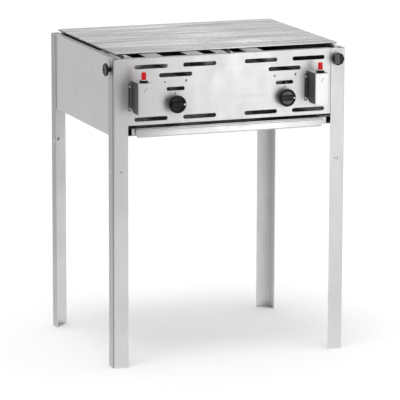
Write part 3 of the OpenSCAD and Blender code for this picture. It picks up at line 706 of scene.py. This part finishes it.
def igniter_nuts():
    """Hexagon nuts with a round flange, one over each igniter."""
    def hexagon(angle):
        part = (angle + math.pi / 6) % (math.pi / 3) - math.pi / 6
        return math.cos(math.pi / 6) / math.cos(part)

    bm = bmesh.new()
    low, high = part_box("igniter_nuts")
    tall = high.z - low.z
    bore, outer, segments = 8.1 * MM, 10.9 * MM, 72
    profile = [(bore, 0, 0), (12.7 * MM, 0, 0), (13.0 * MM, 0.3 * MM, 0), (12.9 * MM, 1.0 * MM, 0),
               (12.0 * MM, 1.6 * MM, 0.2), (outer, 2.6 * MM, 1),
               (outer - 0.2 * MM, tall - 2.0 * MM, 1), (outer - 0.9 * MM, tall - 0.8 * MM, 0.8),
               (outer - 2.3 * MM, tall, 0.1), (bore, tall, 0)]
    for side in SIDES:
        at = centre("piezo_igniter_" + side)
        at.z = low.z
        first = len(bm.verts)
        lathe(bm, profile, Matrix.Translation(at), segments, hexagon)
        caps = [face for face in bm.faces if len(face.verts) == segments]
        bmesh.ops.delete(bm, geom=caps, context="FACES_ONLY")
        bm.verts.ensure_lookup_table()
        last = len(bm.verts) - segments
        rings_to_faces(bm, [bm.verts[last:], bm.verts[first:first + segments]])
    piece("igniter_nut_pair", bm, ["igniter_nuts"], smooth_angle=30)


def igniter_housing(side):
    """Folded box on the front panel: two ears, two cheeks and a face from one strip, with
    the cheeks' lower corners rounded off, and a top folded back from the face."""
    housing = "igniter_housing_" + side
    low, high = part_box(housing)
    middle = (low.x + high.x) / 2
    ear = 7 * MM
    half = (high.x - low.x) / 2 - ear
    front = low.y + 0.06 * MM       # the printed slash lies between this face and the box
    back = high.y - FOLDED
    bend = 2.4 * MM
    corner = 24 * MM
    ear_low, ear_high = high.z - 80 * MM, high.z - 8.5 * MM

    outline = [(-half - ear, back), (-half, back), (-half, front), (half, front), (half, back),
               (half + ear, back)]
    path = rounded([Vector(p) for p in outline], bend)
    dense = []
    for a, b in zip(path, path[1:]):
        steps = max(1, int((b - a).length / (3 * MM)))
        dense += [a.lerp(b, k / steps) for k in range(steps)]
    dense.append(path[-1])

    def is_ear(spot):
        return abs(spot.x) > half + 0.4 * MM

    def bottom(spot):
        if is_ear(spot):
            return ear_low
        run = spot.y - (high.y - corner)
        return low.z + (corner - math.sqrt(max(0, corner ** 2 - run ** 2)) if run > 0 else 0)

    def arc(run):
        """How far a rounded edge has risen at a distance from the front."""
        return math.sqrt(bend ** 2 - max(0.0, bend - max(0.0, run)) ** 2)

    def upper(spot):
        if is_ear(spot):
            return ear_high
        return high.z - bend + max(0.0, arc(spot.y - front) - FOLDED)

    def lift(spot, height):
        return Vector((middle + spot.x, spot.y, height))

    bm = bmesh.new()
    strip(bm, dense, FOLDED, lift, bottom, upper)
    fold = rounded([Vector((front, high.z - bend - 0.01 * MM)), Vector((front, high.z)),
                    Vector((high.y, high.z))], bend)
    strip(bm, fold, -FOLDED, lambda spot, x: Vector((x, spot.x, spot.y)),
          lambda spot: middle - half + bend - arc(spot.x - front),
          lambda spot: middle + half - bend + arc(spot.x - front))
    piece(housing + "_box", bm, [housing], "housing_steel", smooth_angle=30)


def screw_head(bm, matrix, radius, tall, shank, length):
    """Domed screw with a cross recess pressed into its head."""
    segments, steps = 48, 10
    arm_width, arm_reach, recess = radius * 0.13, radius * 0.62, tall * 0.4
    rings = []
    for k in range(steps + 1):
        angle = math.pi / 2 * k / steps
        rad, height = radius * math.cos(angle) + 1e-5, tall * math.sin(angle)
        ring = []
        for i in range(segments):
            turn = 2 * math.pi * i / segments
            x, y = rad * math.cos(turn), rad * math.sin(turn)
            near, far = sorted((abs(x), abs(y)))
            sunk = recess if near < arm_width and far < arm_reach else 0
            ring.append(bm.verts.new(matrix @ Vector((x, y, height - sunk))))
        rings.append(ring)
    rings_to_faces(bm, rings)
    bm.faces.new(rings[-1])
    bm.faces.new(list(reversed(rings[0])))
    lathe(bm, [(shank, -length), (shank, 0.0)], matrix, 20)


def housing_screws():
    """Four small domed screws in each housing's ears."""
    bm = bmesh.new()
    low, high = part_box("housing_screws")
    for side in SIDES:
        box_low, box_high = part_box("igniter_housing_" + side)
        for x in (box_low.x + 3.5 * MM, box_high.x - 3.5 * MM):
            for z in (low.z + 2.8 * MM, high.z - 2.8 * MM):
                screw_head(bm, facing((0, -1, 0), (x, low.y + 1.8 * MM, z)), 2.8 * MM, 1.8 * MM,
                           1.5 * MM, 7.9 * MM)
    piece("housing_screw_set", bm, ["housing_screws"], smooth_angle=40)


# ---------------------------------------------------------------- tray

def tray_front():
    """Folded front strip of the drip tray: lip, face and an outward kick along the bottom."""
    low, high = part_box("drip_tray_front")
    thickness = 1.0 * MM
    corners = [(high.y - 0.2 * MM, high.z - 14 * MM), (high.y - 0.2 * MM, high.z - thickness),
               (low.y + thickness, high.z - thickness), (low.y + thickness, high.z - 4 * MM),
               (low.y + 4.4 * MM, high.z - 5.5 * MM), (low.y + 4.2 * MM, high.z - 11 * MM),
               (low.y + 2.4 * MM, low.z + 3 * MM), (low.y + 3.0 * MM, low.z + 0.3 * MM)]
    path = rounded([Vector(c) for c in corners], 0.9 * MM, 4)

    def end(sign):
        def place(spot):
            drop = (high.z - spot.y) / (high.z - low.z)
            return sign * (high.x - 5 * MM * max(0.0, drop) ** 2)
        return place

    bm = bmesh.new()
    strip(bm, path, thickness, lambda spot, x: Vector((x, spot.x, spot.y)), end(-1), end(1))
    piece("drip_tray_front_strip", bm, ["drip_tray_front"], smooth_angle=30)


# ---------------------------------------------------------------- grate and radiants

def rod(bm, start, end, radius, wander, chance, segments=18, pieces=10):
    """A drawn rod with rounded ends, off straight by a hair."""
    start, end = Vector(start), Vector(end)
    along = (end - start).normalized()
    length = (end - start).length
    matrix = facing(along, start)
    stops = [(0.0, 0.35), (0.25 * radius, 0.75), (0.6 * radius, 0.95), (1.2 * radius, 1.0)]
    stations = stops + [(length * (k + 0.5) / pieces, 1.0) for k in range(pieces)]
    stations += [(length - s, r) for s, r in reversed(stops)]
    phase = chance.uniform(0, 6.28)
    lean = chance.uniform(-1, 1)
    rings = []
    for s, scale in stations:
        bow = wander * lean * math.sin(math.pi * s / length + 0.4 * math.sin(phase))
        ring = []
        for i in range(segments):
            turn = 2 * math.pi * i / segments
            x, y = radius * scale * math.cos(turn) + bow, radius * scale * math.sin(turn)
            ring.append(bm.verts.new(matrix @ Vector((x, y, s))))
        rings.append(ring)
    rings_to_faces(bm, rings)
    bm.faces.new(list(reversed(rings[0])))
    bm.faces.new(rings[-1])


def cooking_grate():
    """Rods welded on three cross rods, each crossing with its squeezed weld."""
    low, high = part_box("cooking_grate")
    rods, pitch = 24, 20 * MM
    rod_r, cross_r = 3 * MM, 4 * MM
    cross_x = 295 * MM
    cross_z, rod_z = low.z + cross_r, high.z - rod_r
    middle = (low.y + high.y) / 2
    squeezed = Matrix.Diagonal((1, 1, 0.45, 1))
    chance = random.Random(7)
    bm = bmesh.new()
    for x in (-cross_x, 0, cross_x):
        rod(bm, (x, low.y, cross_z), (x, high.y, cross_z), cross_r, 0, chance, 24, 6)
    for k in range(rods):
        y = middle + pitch * (k - (rods - 1) / 2)
        rod(bm, (low.x, y, rod_z), (high.x, y, rod_z), rod_r, 0.35 * MM, chance)
        for x in (-cross_x, 0, cross_x):
            weld = Matrix.Translation((x, y, cross_z + cross_r - 0.3 * MM)) @ squeezed
            bmesh.ops.create_icosphere(bm, subdivisions=2, radius=3.9 * MM, matrix=weld)
    piece("cooking_grate_rods", bm, ["cooking_grate"], smooth_angle=60)


def radiants(side):
    """Three folded strips with a rounded ridge and small turned-out feet."""
    radiant = "radiants_" + side
    low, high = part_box(radiant)
    width = 46 * MM
    middle = (low.x + high.x) / 2
    bm = bmesh.new()
    for k in (-1, 0, 1):
        x = middle + k * TUBE_PITCH
        corners = [(x - width / 2, low.z + 0.6 * MM), (x - width / 2 + 3 * MM, low.z + 0.9 * MM),
                   (x, high.z), (x + width / 2 - 3 * MM, low.z + 0.9 * MM),
                   (x + width / 2, low.z + 0.6 * MM)]
        path = rounded([Vector(c) for c in corners], 3 * MM, 4)
        strip(bm, path, -FOLDED, lambda spot, y: Vector((spot.x, y, spot.y)), low.y, high.y)
    piece(radiant + "_strips", bm, [radiant], smooth_angle=30)


# ---------------------------------------------------------------- small details

def circle(radius, count):
    turns = [2 * math.pi * i / count for i in range(count)]
    return [(radius * math.cos(turn), radius * math.sin(turn)) for turn in turns]


def flat_shape(bm, outline, matrix, thick):
    """A thin plate with the given outline."""
    base = [bm.verts.new(matrix @ Vector((x, y, 0))) for x, y in outline]
    lid = [bm.verts.new(matrix @ Vector((x, y, thick))) for x, y in outline]
    rings_to_faces(bm, [base, lid])
    bm.faces.new(lid)
    bm.faces.new(list(reversed(base)))


def flame(size):
    """A plain drop shape with a leaning tip."""
    spots = []
    for i in range(24):
        angle = 2 * math.pi * i / 24
        pull = max(0.0, math.sin(angle)) ** 3
        x, y = 0.5 * math.cos(angle) + 0.25 * pull, 0.5 * math.sin(angle) + 0.45 * pull
        spots.append((size * x, size * y))
    return spots


def printed_marks():
    """Index dots over the knobs and plain flame signs, printed on the front panel, and a
    plain slash on each igniter housing."""
    face = facing((0, -1, 0), (0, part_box("front_panel")[0].y, 0))
    bm = bmesh.new()
    thick = 0.05 * MM
    for side in SIDES:
        at = centre("valve_plug_" + side)
        for outline, dx, dz in ((circle(2 * MM, 20), 0, 27.5 * MM), (flame(4.5 * MM), -29 * MM, 57 * MM),
                                (flame(5.5 * MM), 30 * MM, 58 * MM)):
            flat_shape(bm, outline, face @ Matrix.Translation((at.x + dx, at.z + dz, 0)), thick)
    piece("panel_marks", bm, [], "print_and_port_shade_grey", "frame", "knob_plastic")
    bm = bmesh.new()
    for side in SIDES:
        low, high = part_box("igniter_housing_" + side)
        spot = facing((0, -1, 0), ((low.x + high.x) / 2, low.y + 0.058 * MM, high.z - 17 * MM))
        slash = [(-4.6 * MM, -5 * MM), (-2.6 * MM, -5 * MM), (1.2 * MM, 0.2 * MM),
                 (0.6 * MM, 0.6 * MM), (4.6 * MM, 5 * MM), (2.6 * MM, 5 * MM), (-1.2 * MM, 0),
                 (-0.6 * MM, -0.5 * MM)]
        flat_shape(bm, slash, spot, thick)
    piece("igniter_marks", bm, [], "print_and_port_shade_grey", "frame", "knob_plastic")


def burner_ports():
    """Two rows of flame ports along the upper sides of every burner tube, drawn as thin discs of painted shade in
    place of holes.
    """
    tube_r, step, end_gap = 11 * MM, 10 * MM, 20 * MM
    disc = circle(1.4 * MM, 12)
    bm = bmesh.new()
    for side in SIDES:
        low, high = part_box("burner_" + side)
        count = int((high.y - low.y - 2 * end_gap) / step)
        for k in (-1, 0, 1):
            for lean in (-40, 40):
                out = Vector((math.sin(math.radians(lean)), 0, math.cos(math.radians(lean))))
                for n in range(count + 1):
                    axis = Vector(((low.x + high.x) / 2 + k * TUBE_PITCH,
                                   low.y + end_gap + n * step, high.z - tube_r))
                    flat_shape(bm, disc, facing(out, axis + out * (tube_r - 0.02 * MM)), 0.1 * MM)
    piece("burner_port_rows", bm, [], "print_and_port_shade_grey", "frame", SLOT_OF["burner_left"])


def shelf_screws():
    """Two domed screws on each leg, at about two thirds of its height."""
    bm = bmesh.new()
    low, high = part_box("shelf_screws")
    z = (low.z + high.z) / 2
    inset = 22 * MM
    for sx in (-1, 1):
        for sy in (-1, 1):
            leg = "leg_%s_%s" % ("front" if sy < 0 else "rear", "left" if sx < 0 else "right")
            leg_low, leg_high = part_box(leg)
            x = leg_low.x if sx < 0 else leg_high.x
            y = leg_low.y if sy < 0 else leg_high.y
            for axis, at in (((sx, 0, 0), (x, y - sy * inset, z)),
                             ((0, sy, 0), (x - sx * inset, y, z))):
                screw_head(bm, facing(axis, at), 5 * MM, 3 * MM, 2.5 * MM, 12 * MM)
    piece("shelf_screw_set", bm, ["shelf_screws"], smooth_angle=40)


# ---------------------------------------------------------------- build

MATERIALS = make_materials()
make_camera()
make_stage()
for corner in CORNERS:
    star_knob(corner)
for side in SIDES:
    control_knob(side)
    igniter_button(side)
    igniter_housing(side)
    radiants(side)
igniter_nuts()
housing_screws()
tray_front()
cooking_grate()
printed_marks()
burner_ports()
shelf_screws()
SHEETS = ["leg_" + corner for corner in CORNERS] + [
    "front_panel", "back_panel", "side_panel_left", "side_panel_right", "drip_tray",
    "tray_rail_left", "tray_rail_right", "radiant_rail_front", "radiant_rail_rear",
    "burner_rail_front", "burner_rail_rear", "foot_plates"]
for sheet_node in SHEETS:
    refined(sheet_node)
for name, thing in frame["nodes"].items():
    thing.data.materials.clear()
    thing.data.materials.append(MATERIALS[SLOT_OF[name]])
